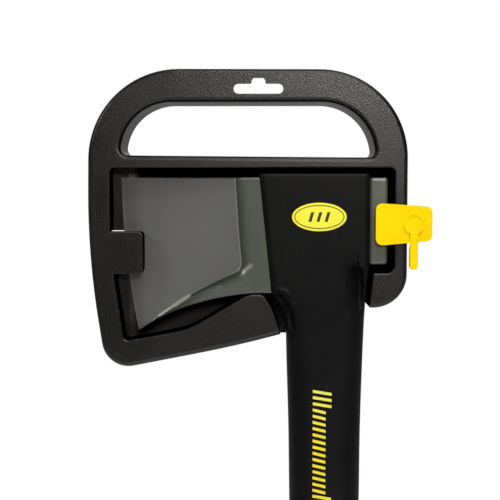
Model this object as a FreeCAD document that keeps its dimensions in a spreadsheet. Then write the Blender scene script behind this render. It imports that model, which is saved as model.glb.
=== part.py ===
"""Felling and splitting axe locked in its moulded blade cover.

The assembly hangs from the slot in the cover's carrying grip. X runs from the cutting edge to the
poll, Z runs up, and Y runs from the open front of the cover to its back. The origin is the point
of the hang slot that a hook bears on, at the middle of the cover's front skin. All sizes are in
millimetres.
"""
import FreeCAD, Part
import math
import os

from FreeCAD import Placement, Rotation, Vector

SIZES = {
    # Cover: corners of the outer outline, seen from the front, each with its rounding.
    "cover_left": -111.3,
    "cover_right": 96.6,
    "cover_left_top": -109.7,
    "cover_top": 5.8,
    "cover_top_fall": 0.8,
    "cover_left_round": 59.0,
    "cover_right_round": 57.2,
    "foot_base": -149.1,
    "foot_round": 21.9,
    "arm_end_x": 16.0,
    "arm_end_z": -166.2,
    "arm_bow_x": -14.8,
    "arm_bow_z": -174.5,
    "arm_bow_round": 760.0,
    "toe_x": -99.6,
    "toe_z": -191.1,
    "toe_round": 17.5,
    "side_bend_z": -116.4,
    "side_bend_round": 520.0,
    # Cover: depth behind the front face, thicknesses and edge roundings.
    "cover_depth": 36.0,
    "skin": 2.5,
    "wall": 2.4,
    "edge_round": 3.0,
    "rim_round": 0.9,
    # Hand opening below the carrying grip: corners and roundings.
    "opening_top": -15.9,
    "opening_left": -89.9,
    "opening_left_top": -84.5,
    "opening_left_base": -50.0,
    "opening_left_round": 33.0,
    "opening_left_corner": 5.2,
    "opening_right": 76.0,
    "opening_right_top": 70.0,
    "opening_right_base": -51.5,
    "opening_right_round": 34.5,
    "opening_right_corner": 4.4,
    # Hang slot: the round-ended slot and the hook notch above it.
    "slot_length": 32.0,
    "slot_height": 6.5,
    "slot_notch_width": 9.0,
    "slot_notch_height": 4.2,
    "slot_notch_round": 3.3,
    "slot_shoulder_round": 0.8,
    # Tray that the head lies in: corners and roundings.
    "tray_left": -96.4,
    "tray_right": 88.3,
    "tray_top": -58.0,
    "tray_corner": 3.2,
    "tray_bend_z": -113.6,
    "tray_toe_x": -87.9,
    "tray_toe_z": -171.2,
    "tray_foot_z": -126.5,
    "tray_foot_corner": 5.0,
    "foot_top_x": 74.7,
    "foot_heel_x": 72.1,
    "arm_bend_x": -45.4,
    "arm_bend_z": -163.7,
    "arm_bend_round": 60.0,
    "horn_left_x": -6.7,
    "horn_left_round": 14.0,
    "horn_top_z": -140.5,
    "horn_right_x": 3.0,
    "horn_right_round": 5.0,
    "horn_side_x": 9.0,
    "horn_side_z": -149.2,
    "horn_side_round": 20.0,
    "tray_mouth_z": -184.0,
    "tray_overrun": 1.0,
    # Tray floor, as depths behind the front face.
    "floor_edge_depth": 17.5,
    "floor_flat_end": -86.0,
    "floor_cheek_depth": 29.8,
    "floor_step_start": -16.0,
    "floor_step_end": -14.0,
    "floor_back_depth": 33.6,
    # Tab that covers the cutting edge, hollow behind its face, and the window behind it.
    "tab_right": -75.2,
    "tab_top": -99.6,
    "tab_height": 27.4,
    "tab_corner": 3.0,
    "tab_round": 0.7,
    "tab_depth": 12.4,
    "tab_wall": 1.6,
    "tab_window_left": -101.0,
    "tab_window_gap": 0.3,
    # Lip of the tray's floor that reaches down behind the handle.
    "lip_left": 12.0,
    "lip_right": 40.0,
    "lip_top": -160.0,
    "lip_base": -170.0,
    # Stiffening ribs in the channel behind the skin.
    "rib": 1.8,
    "rib_inset": 3.0,
    # Latch: pivot, lug, plate, pin with its lever, and retainer.
    "latch_x": 100.1,
    "latch_z": -94.2,
    "lug_right": 109.3,
    "lug_half_height": 9.6,
    "lug_round": 7.0,
    "lug_depth": 6.0,
    "plate_left": 75.7,
    "plate_right": 112.0,
    "plate_left_above": 13.4,
    "plate_left_below": 14.2,
    "plate_right_half": 11.0,
    "plate_round": 4.4,
    "plate": 2.5,
    "latch_gap": 0.4,
    "pin_head_radius": 6.75,
    "pin_head": 1.2,
    "pin_ring": 1.3,
    "pin_recess": 0.4,
    "pin_dimple": 1.2,
    "pin_key": 5.2,
    "pin_key_gap": 0.05,
    "pin_radius": 3.4,
    "pin_running_gap": 0.05,
    "pin_neck_radius": 2.5,
    "pin_tail": 1.6,
    "pin_tail_radius": 3.0,
    "retainer": 1.2,
    "retainer_radius": 5.6,
    "retainer_room": 0.6,
    "lever_width": 5.3,
    "lever_reach": 29.5,
    "lever_front": 1.8,
    "lever_round": 0.7,
    "lever_step": 1.0,
    # Axe: its mid-plane behind the cover's front face.
    "axe_depth": 15.0,
    # Head: the blade, the raised cheek and beard, the neck and the poll.
    "blade_top": -64.4,
    "edge_top_x": -90.6,
    "edge_mid_x": -87.6,
    "edge_mid_z": -115.0,
    "edge_tip_x": -79.7,
    "edge_tip_z": -165.8,
    "beard_mid_x": -38.7,
    "beard_mid_z": -146.5,
    "beard_end_z": -139.6,
    "edge_half": 0.35,
    "facet_slope": 0.1,
    "cheek_slope": 0.183,
    "cheek_half": 14.0,
    "facet_top_x": -15.2,
    "facet_turn_x": -10.8,
    "facet_turn_z": -124.3,
    "facet_turn_round": 3.0,
    "facet_low_x": -48.0,
    "facet_low_z": -140.9,
    "facet_low_round": 70.0,
    "neck_top": -70.0,
    "neck_base": -115.0,
    "neck_half": 10.0,
    "poll_left": 72.0,
    "poll_right": 83.8,
    "poll_top": -64.4,
    "poll_base": -121.0,
    "poll_half": 13.0,
    "poll_round": 2.0,
    # Handle, moulded round the neck of the head.
    "handle_top": -61.9,
    "handle_top_round": 1.5,
    "collar_top_x": 0.2,
    "collar_low_x": 8.3,
    "collar_base": -139.0,
    "collar_half": 18.0,
    "collar_round": 4.0,
    "collar_low_round": 8.0,
    "shoulder_x": 72.2,
    "shoulder_z": -118.0,
    "shoulder_low_x": 70.3,
    "chin_z": -148.0,
    "chin_x": 14.4,
    "chin_right_x": 69.9,
    "chin_half": 17.7,
    "chin_round": 10.0,
    "sleeve": 2.5,
    "hollow_top": -170.0,
    "shell": 4.5,
    "knob_spigot": 26.0,
    "knob_gap": 1.2,
    "knob_round": 9.0,
    "lanyard_radius": 4.5,
    "lanyard_x": 36.5,
    "lanyard_z": -745.0,
    # Badges on both faces of the collar.
    "badge_x": 39.3,
    "badge_z": -89.8,
    "badge_half_length": 17.6,
    "badge_half_height": 9.2,
    "badge": 0.5,
    "badge_sink": 0.3,
}

# Sections down the handle: height, cutting-edge side, poll side, half thickness and corner.
SHAFT = [
    (-158.0, 18.2, 69.6, 17.4, 12.0),
    (-185.0, 18.7, 68.8, 16.8, 14.0),
    (-230.0, 20.2, 67.6, 16.3, 14.5),
    (-277.0, 20.7, 67.4, 16.0, 14.5),
    (-370.0, 22.4, 65.6, 15.4, 14.0),
    (-450.0, 24.5, 64.0, 15.0, 13.5),
    (-500.0, 26.0, 63.2, 14.8, 13.3),
]
GRIP = [
    (-500.0, 26.0, 63.2, 14.8, 13.3),
    (-560.0, 27.4, 62.2, 15.2, 13.8),
    (-630.0, 26.4, 62.8, 15.6, 14.2),
    (-690.0, 21.5, 62.0, 15.8, 14.2),
    (-728.0, 14.0, 60.5, 16.2, 14.4),
]
KNOB = [
    (-728.0, 14.0, 60.5, 16.2, 14.4),
    (-762.0, 9.5, 59.5, 16.2, 14.4),
]

# Stiffening ribs: places of the upright ones across the grip and the arm, and heights of the
# level ones in the two sides.
GRIP_RIBS = (-66.0, -24.0, 24.0, 56.0)
ARM_RIBS = (-62.0, -36.0, -10.0)
LEFT_RIBS = (-72.0, -112.0, -144.0)
RIGHT_RIBS = (-74.0, -114.0)

# Share of half the width that rounds a bar's end, just short of a full half circle.
ROUND_END = 0.98

doc = FreeCAD.newDocument("axe_in_blade_cover")
sheet = doc.addObject("Spreadsheet::Sheet", "sizes")


def fill_sheet():
    """Put every driving size in the sheet as a plain number with its name as the alias."""
    for row, (name, value) in enumerate(SIZES.items(), start=1):
        sheet.set("A%d" % row, name)
        sheet.set("B%d" % row, "%g" % value)
        sheet.setAlias("B%d" % row, name)
    doc.recompute()


class SheetValues:
    """Read a size from the sheet by its alias."""

    def __getattr__(self, name):
        return float(sheet.get(name))


size = SheetValues()


# ---------------------------------------------------------------------------------------------
# Helpers that make document objects
# ---------------------------------------------------------------------------------------------

def path(start, *steps):
    """Closed run of lines and arcs: a step is a point, or a pair of points for an arc."""
    geometry = []
    here = start
    for step in steps:
        if isinstance(step[0], tuple):
            through, there = step
            geometry.append(Part.Arc(flat(here), flat(through), flat(there)))
        else:
            there = step
            geometry.append(Part.LineSegment(flat(here), flat(there)))
        here = there
    return geometry


def rounded(*corners):
    """Closed outline through corners given as (across, up, rounding radius)."""
    before = corners[-1:] + corners[:-1]
    after = corners[1:] + corners[:1]
    turns = [corner_ends(*three) for three in zip(before, corners, after)]
    geometry = []
    for here, there in zip(turns, turns[1:] + turns[:1]):
        if len(here) == 3:
            geometry.append(Part.Arc(*here))
        if here[-1].distanceToPoint(there[0]) > 1e-6:
            geometry.append(Part.LineSegment(here[-1], there[0]))
    return geometry


def corner_ends(before, corner, after):
    """Start, middle and end of the arc that rounds a corner, or the sharp corner itself."""
    point = flat(corner)
    radius = corner[2]
    if radius == 0:
        return [point]
    back = (flat(before) - point).normalize()
    ahead = (flat(after) - point).normalize()
    half_angle = back.getAngle(ahead) / 2
    reach = radius / math.tan(half_angle)
    inward = (back + ahead).normalize()
    middle = point + inward * (radius / math.sin(half_angle) - radius)
    return [point + back * reach, middle, point + ahead * reach]


def flat(point):
    return Vector(point[0], point[1], 0)


def sketch(name, geometry, level=None, depth=None):
    """Sketch on a level plane (XY at a height), or upright (XZ, facing the front of the cover)."""
    made = doc.addObject("Sketcher::SketchObject", name)
    if level is None:
        made.Placement = Placement(Vector(0, 0, 0), Rotation(Vector(1, 0, 0), 90))
    else:
        made.Placement = Placement(Vector(0, 0, level), Rotation())
    if depth is not None:
        made.setExpression("Placement.Base.y", depth)
    made.addGeometry(geometry, False)
    return made


def prism(name, profile, near, far):
    """Solid between two depths, given as expressions, measured along +Y from the profile."""
    made = doc.addObject("Part::Extrusion", name)
    made.Base = profile
    made.DirMode = "Custom"
    made.Dir = Vector(0, 1, 0)
    made.Solid = True
    made.setExpression("LengthFwd", far)
    made.setExpression("LengthRev", "-(%s)" % near)
    return made


def pillar(name, plan, height):
    """Solid that rises from a level plan by a height, given as an expression."""
    made = prism(name, plan, "0", height)
    made.Dir = Vector(0, 0, 1)
    return made


def slab(name, profile, half):
    """Solid of equal depth on both sides of the profile's plane."""
    return prism(name, profile, "-(%s)" % half, half)


def offset(name, profile, distance):
    """Outline moved outwards by a distance, given as an expression."""
    made = doc.addObject("Part::Offset2D", name)
    made.Source = profile
    made.Join = "Arc"
    made.setExpression("Value", distance)
    return made


def fuse(name, *pieces):
    made = doc.addObject("Part::MultiFuse", name)
    made.Shapes = list(pieces)
    made.Refine = True
    return made


def common(name, *pieces):
    made = doc.addObject("Part::MultiCommon", name)
    made.Shapes = list(pieces)
    return made


def cut(name, base, *tools):
    """Base with each tool taken away in turn."""
    for number, tool in enumerate(tools, start=1):
        last = number == len(tools)
        made = doc.addObject("Part::Cut", name if last else "%s_step%d" % (name, number))
        made.Base = base
        made.Tool = tool
        base = made
    base.Refine = True
    return base


def box(name, low, high):
    """Box between two corners, each coordinate given as an expression."""
    made = doc.addObject("Part::Box", name)
    for axis, side, start, end in zip("xyz", ("Length", "Width", "Height"), low, high):
        made.setExpression("Placement.Base." + axis, start)
        made.setExpression(side, "(%s) - (%s)" % (end, start))
    return made


def bar(name, centre_x, centre_z, radius, near, far):
    """Round bar along Y about a centre, between two depths, all given as expressions."""
    made = doc.addObject("Part::Cylinder", name)
    made.Placement = Placement(Vector(0, 0, 0), Rotation(Vector(1, 0, 0), -90))
    made.setExpression("Placement.Base.x", centre_x)
    made.setExpression("Placement.Base.y", near)
    made.setExpression("Placement.Base.z", centre_z)
    made.setExpression("Radius", radius)
    made.setExpression("Height", "(%s) - (%s)" % (far, near))
    return made


def fillet(name, base, radius, chosen):
    """Round the edges of the base that the test picks."""
    doc.recompute()
    made = doc.addObject("Part::Fillet", name)
    made.Base = base
    edges = enumerate(base.Shape.Edges, start=1)
    made.Edges = [(index, radius, radius) for index, edge in edges if chosen(edge)]
    return made


def loft(name, sections, ruled=False):
    made = doc.addObject("Part::Loft", name)
    made.Sections = sections
    made.Solid = True
    made.Ruled = ruled
    return made


def finish(part, label, depth="0"):
    """Name a finished sub-part and bind its depth in the assembly."""
    part.Label = label
    part.setExpression("Placement.Base.y", depth)
    return part


def section(name, level, left, right, half, corner):
    """Level section of the handle: a rounded rectangle about the axe's mid-plane."""
    return sketch(name, rounded((left, -half, corner), (right, -half, corner),
                                (right, half, corner), (left, half, corner)), level=level)


# Expressions that several sub-parts share.
FRONT = "-sizes.skin / 2"
DEEPEST = "sizes.cover_depth - sizes.skin / 2"
AXE_Y = "sizes.axe_depth - sizes.skin / 2"
LATCH_BACK = "-sizes.skin / 2 - sizes.latch_gap"
LATCH_FRONT = LATCH_BACK + " - sizes.plate"
BADGE_SEAT = "(sizes.collar_half - sizes.badge_sink)"


# ---------------------------------------------------------------------------------------------
# Blade cover
# ---------------------------------------------------------------------------------------------

def cover_outline():
    """Outer outline of the cover, clockwise from its top left corner."""
    return rounded(
        (size.cover_left_top, size.cover_top, size.cover_left_round),
        (size.cover_right, size.cover_top - size.cover_top_fall, size.cover_right_round),
        (size.cover_right, size.foot_base, size.foot_round),
        (size.foot_heel_x, size.foot_base, 0),
        (size.arm_end_x, size.arm_end_z, 0),
        (size.arm_bow_x, size.arm_bow_z, size.arm_bow_round),
        (size.toe_x, size.toe_z, size.toe_round),
        (size.cover_left, size.side_bend_z, size.side_bend_round),
    )


def opening_outline():
    """Hand opening, whose upper corners run parallel to the cover's outer corners."""
    return rounded(
        (size.opening_left_top, size.opening_top, size.opening_left_round),
        (size.opening_right_top, size.opening_top, size.opening_right_round),
        (size.opening_right, size.opening_right_base, size.opening_right_corner),
        (size.opening_left, size.opening_left_base, size.opening_left_corner),
    )


def slot_outline():
    """Hang slot with its notch; the notch's top is at the origin."""
    half = size.slot_length / 2
    notch = size.slot_notch_width / 2
    shoulder = -size.slot_notch_height
    base = shoulder - size.slot_height
    end = ROUND_END * size.slot_height / 2
    soft = size.slot_notch_round
    return rounded(
        (-notch, 0, soft),
        (notch, 0, soft),
        (notch, shoulder, size.slot_shoulder_round),
        (half, shoulder, end),
        (half, base, end),
        (-half, base, end),
        (-half, shoulder, end),
        (-notch, shoulder, size.slot_shoulder_round),
    )


def tray_outline():
    """Inside of the tray, open downwards between the arm's horn and the foot."""
    return rounded(
        (size.tray_left, size.tray_top, size.tray_corner),
        (size.tray_right, size.tray_top, size.tray_corner),
        (size.tray_right, size.tray_foot_z, size.tray_foot_corner),
        (size.foot_top_x, size.tray_foot_z, size.rim_round),
        (size.foot_heel_x, size.foot_base, 0),
        (size.foot_heel_x, size.tray_mouth_z, 0),
        (size.arm_end_x, size.tray_mouth_z, 0),
        (size.arm_end_x - size.tray_overrun, size.arm_end_z - size.tray_overrun, 0),
        (size.horn_side_x, size.horn_side_z, size.horn_side_round),
        (size.horn_right_x, size.horn_top_z, size.horn_right_round),
        (size.horn_left_x, size.horn_top_z, size.horn_left_round),
        (size.arm_bend_x, size.arm_bend_z, size.arm_bend_round),
        (size.tray_toe_x, size.tray_toe_z, size.tray_corner),
        (size.tray_left, size.tray_bend_z, 0),
    )


def tab_outline(left, margin):
    """Tab over the cutting edge, or with a margin the window in the floor behind it."""
    right = size.tab_right + margin
    top = size.tab_top + margin
    base = size.tab_top - size.tab_height - margin
    return rounded(
        (left, top, 0),
        (right, top, size.tab_corner),
        (right, base, size.tab_corner),
        (left, base, 0),
    )


def lug_outline():
    """Lug on the cover's right side that carries the latch pin."""
    left = size.cover_right - size.wall
    top = size.latch_z + size.lug_half_height
    base = size.latch_z - size.lug_half_height
    return rounded(
        (left, top, 0),
        (size.lug_right, top, size.lug_round),
        (size.lug_right, base, size.lug_round),
        (left, base, 0),
    )


def floor_band(name, below):
    """Everything behind the tray's floor, or behind a surface that far below the floor."""
    front = below - size.skin / 2
    deep = 2 * size.cover_depth
    plan = sketch(name + "_plan", rounded(
        (size.cover_left, front + size.floor_edge_depth, 0),
        (size.floor_flat_end, front + size.floor_edge_depth, 0),
        (size.floor_step_start, front + size.floor_cheek_depth, 0),
        (size.floor_step_end, front + size.floor_back_depth, 0),
        (size.cover_right, front + size.floor_back_depth, 0),
        (size.cover_right, deep, 0),
        (size.cover_left, deep, 0),
    ), level=2 * size.toe_z)
    return pillar(name, plan, "-3 * sizes.toe_z")


def on_front(edge):
    """True for an edge that lies in the cover's front face."""
    ends = [edge.valueAt(edge.FirstParameter), edge.valueAt(edge.LastParameter)]
    return all(abs(point.y + size.skin / 2) < 1e-4 for point in ends + [middle_of(edge)])


def middle_of(edge):
    return edge.valueAt((edge.FirstParameter + edge.LastParameter) / 2)


def follows(edge, outline):
    """True for an edge whose middle lies on an outline."""
    return outline.Shape.distToShape(Part.Vertex(middle_of(edge)))[0] < 1e-3


def rib_outlines():
    """Rib rectangles seen from the front: upright in the grip and the arm, level at the sides."""
    half = size.rib / 2
    for x in GRIP_RIBS:
        yield x - half, x + half, size.tray_top, size.cover_top
    for x in ARM_RIBS:
        yield x - half, x + half, size.toe_z, size.horn_top_z
    for z in LEFT_RIBS:
        yield size.cover_left, size.tray_toe_x, z - half, z + half
    for z in RIGHT_RIBS:
        yield size.tray_right, size.cover_right, z - half, z + half


def cover_ribs(channel):
    """Ribs that cross the channel behind the skin, trimmed to the channel itself."""
    made = []
    for number, (left, right, low, high) in enumerate(rib_outlines()):
        corners = [(left, low, 0), (right, low, 0), (right, high, 0), (left, high, 0)]
        profile = sketch("rib_outline%d" % number, rounded(*corners), depth=FRONT)
        made.append(prism("rib%d" % number, profile, "sizes.skin / 2",
                          "sizes.cover_depth - sizes.rib_inset"))
    return common("ribs_in_channel", fuse("ribs", *made), channel)


def make_tab():
    """Tab from the cover's left wall: a face with a skirt that reaches back to the blade."""
    left = size.tray_left - size.wall / 2
    profile = sketch("tab_outline", tab_outline(left, 0.0), depth=FRONT)
    pocket = prism("tab_pocket", offset("inside_of_skirt", profile, "-sizes.tab_wall"),
                   "sizes.skin", "2 * sizes.tab_depth")
    cup = cut("tab_cup", prism("tab_blank", profile, "0", "sizes.tab_depth"), pocket)
    return fillet("tab", cup, size.tab_round,
                  lambda edge: on_front(edge) and middle_of(edge).x > size.tray_left)


def make_cover():
    """One injection-moulded piece: skin, outer wall, grip, tray, tab and latch lug."""
    outer = sketch("cover_outer", cover_outline(), depth=FRONT)
    opening = sketch("hand_opening", opening_outline(), depth=FRONT)
    tray = sketch("tray", tray_outline(), depth=FRONT)
    slot = sketch("hang_slot", slot_outline(), depth=FRONT)
    inside = offset("inside_of_wall", outer, "-sizes.wall")
    opening_ring = offset("opening_ring", opening, "sizes.wall")
    tray_ring = offset("tray_ring", tray, "sizes.wall")

    block = prism("cover_block", outer, "0", "sizes.cover_depth")
    hole = prism("opening_through", opening, "-sizes.cover_depth", "2 * sizes.cover_depth")
    drilled = cut("block_with_opening", block, hole)
    softened = fillet("softened_block", drilled, size.edge_round, on_front)

    whole_channel = prism("channel_block", inside, "sizes.skin", "2 * sizes.cover_depth")
    around_opening = prism("opening_wall", opening_ring, "0", "3 * sizes.cover_depth")
    around_tray = prism("tray_wall", tray_ring, "0", "3 * sizes.cover_depth")
    channel = cut("channel", whole_channel, around_opening, around_tray)

    tray_block = prism("tray_through", tray, "-sizes.cover_depth", "2 * sizes.cover_depth")
    tray_front = cut("tray_space", tray_block, floor_band("floor_and_behind", 0.0))
    behind = prism("tray_behind", tray, "0", "2 * sizes.cover_depth")
    inner_behind = common("behind_inside_wall", behind,
                          prism("inside_block", inside, "0", "3 * sizes.cover_depth"))
    tray_rear = common("tray_underside", inner_behind, floor_band("below_floor", size.wall))

    slot_cut = prism("slot_through", slot, "-sizes.skin", "2 * sizes.skin")
    window = sketch("tab_window_outline",
                    tab_outline(size.tab_window_left, size.tab_window_gap), depth=FRONT)
    tab_window = prism("tab_window", window, "sizes.skin * 2", "2 * sizes.cover_depth")
    shell = cut("cover_shell", softened, channel, tray_front, tray_rear, slot_cut, tab_window)
    rim = fillet("rounded_rim", shell, size.rim_round,
                 lambda edge: on_front(edge) and follows(edge, tray))

    tab = make_tab()
    lip = box("floor_lip", ("sizes.lip_left", DEEPEST + " - sizes.wall", "sizes.lip_base"),
              ("sizes.lip_right", DEEPEST, "sizes.lip_top"))
    lug_profile = sketch("lug_outline", lug_outline(), depth=FRONT)
    lug = prism("lug", lug_profile, "0", "sizes.lug_depth")
    solid = fuse("cover_solid", rim, tab, lip, lug, cover_ribs(channel))
    bore = bar("pin_bore", "sizes.latch_x", "sizes.latch_z",
               "sizes.pin_radius + sizes.pin_running_gap", "-sizes.skin * 2",
               "sizes.lug_depth * 2")
    room = bar("retainer_recess", "sizes.latch_x", "sizes.latch_z",
               "sizes.retainer_radius + sizes.retainer_room",
               "sizes.lug_depth - sizes.skin / 2", "2 * sizes.lug_depth")
    return finish(cut("cover", solid, bore, room), "cover_frame")


# ---------------------------------------------------------------------------------------------
# Axe, modelled about its own mid-plane
# ---------------------------------------------------------------------------------------------

def wedge(name, slope):
    """Wedge that opens from the cutting edge at a slope until it is as thick as the cheeks."""
    limit = size.cheek_half
    run = (limit - size.edge_half) / slope
    ahead = size.edge_top_x - size.edge_tip_x
    behind = 2 * size.poll_right
    plan = sketch(name + "_plan", rounded(
        (ahead, -size.edge_half, 0), (0, -size.edge_half, 0), (run, -limit, 0),
        (behind, -limit, 0), (behind, limit, 0), (run, limit, 0), (0, size.edge_half, 0),
        (ahead, size.edge_half, 0)), level=0)
    made = pillar(name, plan, "-4 * sizes.toe_z")
    made.Symmetric = True
    lean = math.degrees(math.atan2(-ahead, size.blade_top - size.edge_tip_z))
    made.Placement = Placement(Vector(size.edge_tip_x, 0, size.edge_tip_z),
                               Rotation(Vector(0, 1, 0), -lean))
    return made


def head_outline():
    """Blade, beard and cheek, seen from the side, as far as the handle's collar."""
    return path(
        (size.edge_top_x, size.blade_top),
        (collar_left(size.blade_top), size.blade_top),
        (collar_left(size.beard_end_z), size.beard_end_z),
        ((size.beard_mid_x, size.beard_mid_z), (size.edge_tip_x, size.edge_tip_z)),
        ((size.edge_mid_x, size.edge_mid_z), (size.edge_top_x, size.blade_top)))


def facet_outline():
    """Region of the thin facet, past the blade's top and its cutting edge."""
    return rounded(
        (size.cover_left, 0, 0),
        (size.facet_top_x, 0, 0),
        (size.facet_top_x, size.blade_top, 0),
        (size.facet_turn_x, size.facet_turn_z, size.facet_turn_round),
        (size.facet_low_x, size.facet_low_z, size.facet_low_round),
        (size.edge_tip_x, size.edge_tip_z, 0),
        (size.cover_left, size.edge_tip_z, 0),
    )


def collar_left(height):
    """Where the collar's slanted face over the cheek stands at a height."""
    fall = (size.collar_low_x - size.collar_top_x) / (size.collar_base - size.handle_top)
    return size.collar_top_x + fall * (height - size.handle_top)


def make_head():
    """Forged head: thin facet, raised cheek and beard, neck inside the handle, and poll."""
    blank = slab("head_blank", sketch("head_outline", head_outline()), "2 * sizes.cheek_half")
    facet = slab("facet_block", sketch("facet_outline", facet_outline()), "3 * sizes.cheek_half")
    forged = common("forged_wedge", blank, wedge("cheek_wedge", size.cheek_slope))
    raised = cut("cheek_and_beard", forged, facet)
    thin = common("ground_facet", blank, facet, wedge("facet_wedge", size.facet_slope))
    neck = box("neck", ("sizes.collar_top_x", "-sizes.neck_half", "sizes.neck_base"),
               ("sizes.poll_left + 1", "sizes.neck_half", "sizes.neck_top"))
    poll = box("poll_block", ("sizes.poll_left", "-sizes.poll_half", "sizes.poll_base"),
               ("sizes.poll_right", "sizes.poll_half", "sizes.poll_top"))
    rounded_poll = fillet("poll", poll, size.poll_round, at_poll_face)
    return finish(fuse("head", raised, thin, neck, rounded_poll), "axe_head", AXE_Y)


def at_poll_face(edge):
    """True for the four edges round the poll's striking face."""
    return all(abs(vertex.X - size.poll_right) < 1e-4 for vertex in edge.Vertexes)


def make_handle(head, core):
    """Glass-filled nylon handle: collar round the neck, shaft, and the hollow core of the grip."""
    ends = (size.collar_half, size.collar_round)
    low_collar = section("collar_base", size.collar_base, size.collar_low_x, size.shoulder_low_x,
                         size.collar_half, size.collar_low_round)
    collar = loft("collar_loft", [
        section("collar_top", size.handle_top, collar_left(size.handle_top), size.shoulder_x,
                *ends),
        section("collar_shoulder", size.shoulder_z, collar_left(size.shoulder_z),
                size.shoulder_x, *ends),
        low_collar,
        section("collar_chin", size.chin_z, size.chin_x, size.chin_right_x, size.chin_half,
                size.chin_round),
        section("collar_throat", *SHAFT[0]),
    ], ruled=True)
    topped = fillet("collar", collar, size.handle_top_round, at_handle_top)
    shaft = loft("shaft", [section("shaft_section%d" % number, *row)
                           for number, row in enumerate(SHAFT)])
    hollow_rows = [row for row in SHAFT if row[0] < size.hollow_top] + GRIP[1:]
    hollow = loft("hollow", inset_sections("hollow_section", hollow_rows,
                                           size.shell + size.sleeve))
    body = fuse("handle_solid", topped, shaft, core)
    near_recess = badge_block("badge_recess_near", "-2 * sizes.collar_half", "-" + BADGE_SEAT)
    far_recess = badge_block("badge_recess_far", BADGE_SEAT, "2 * sizes.collar_half")
    solid = cut("handle", body, hollow, in_axe_frame(head), near_recess, far_recess)
    return finish(solid, "handle_shell", AXE_Y)


def make_grip_core():
    """Core of the grip, under the sleeve, before it is hollowed."""
    return loft("grip_core", inset_sections("core_section", GRIP, size.sleeve))


def in_axe_frame(head):
    """Copy of the head about the axe's own mid-plane, to shape the handle round it."""
    link = doc.addObject("App::Link", "head_in_axe_frame")
    link.LinkedObject = head
    link.LinkTransform = False
    return link


def at_handle_top(edge):
    """True for an edge round the top face of the collar."""
    return all(abs(vertex.Z - size.handle_top) < 1e-4 for vertex in edge.Vertexes)


def inset_sections(name, rows, inset):
    """Sections of the grip moved inwards by an inset."""
    made = []
    for number, (level, left, right, half, corner) in enumerate(rows):
        made.append(section("%s%d" % (name, number), level, left + inset, right - inset,
                            half - inset, corner - inset))
    return made


def make_sleeve(core):
    """Soft grip moulded over the lower handle."""
    outer = loft("sleeve_outer", [section("sleeve_section%d" % number, *row)
                                  for number, row in enumerate(GRIP)])
    return finish(cut("sleeve", outer, core), "grip_sleeve", AXE_Y)


def make_knob():
    """End knob: closes the hollow handle with a spigot and carries the lanyard hole."""
    outer = loft("knob_outer", [section("knob_section%d" % number, *row)
                                for number, row in enumerate(KNOB)])
    capped = fillet("knob_cap", outer, size.knob_round, at_knob_base)
    inset = size.shell + size.sleeve + size.knob_gap
    base = GRIP[-1]
    share = size.knob_spigot / (GRIP[-2][0] - base[0])
    top = [low + (high - low) * share for low, high in zip(base, GRIP[-2])]
    spigot = loft("knob_spigot", inset_sections("spigot_section", [base, top], inset))
    solid = fuse("knob_solid", capped, spigot)
    hole = bar("lanyard_hole", "sizes.lanyard_x", "sizes.lanyard_z", "sizes.lanyard_radius",
               "-2 * sizes.collar_half", "2 * sizes.collar_half")
    return finish(cut("knob", solid, hole), "end_knob", AXE_Y)


def at_knob_base(edge):
    """True for an edge round the knob's lower face."""
    return all(abs(vertex.Z - KNOB[-1][0]) < 1e-4 for vertex in edge.Vertexes)


def badge_block(name, face, back):
    """Oval plate between two depths about the axe's mid-plane, given as expressions."""
    oval = Part.Ellipse(Vector(size.badge_x, size.badge_z, 0), size.badge_half_length,
                        size.badge_half_height)
    return prism(name, sketch(name + "_oval", [oval]), face, back)


def make_badges():
    """Thin oval badges, let into the two flat faces of the collar."""
    face = "(%s + sizes.badge)" % BADGE_SEAT
    front = finish(badge_block("badge_near", "-" + face, "-" + BADGE_SEAT), "badge_front", AXE_Y)
    rear = finish(badge_block("badge_far", BADGE_SEAT, face), "badge_rear", AXE_Y)
    return front, rear


# ---------------------------------------------------------------------------------------------
# Latch
# ---------------------------------------------------------------------------------------------

def make_latch_plate():
    """Tapered plate that turns over the poll, with a square hole keyed to the pin."""
    centre, corner = size.latch_z, size.plate_round
    outline = sketch("plate_outline", rounded(
        (size.plate_left, centre + size.plate_left_above, corner),
        (size.plate_right, centre + size.plate_right_half, corner),
        (size.plate_right, centre - size.plate_right_half, corner),
        (size.plate_left, centre - size.plate_left_below, corner)))
    plate = prism("plate_blank", outline, LATCH_FRONT, LATCH_BACK)
    half = "(sizes.pin_key / 2 + sizes.pin_key_gap)"
    key = box("plate_key",
              ("sizes.latch_x - " + half, "-4 * sizes.skin", "sizes.latch_z - " + half),
              ("sizes.latch_x + " + half, "4 * sizes.skin", "sizes.latch_z + " + half))
    return finish(cut("plate_keyed", plate, key), "latch_plate")


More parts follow.
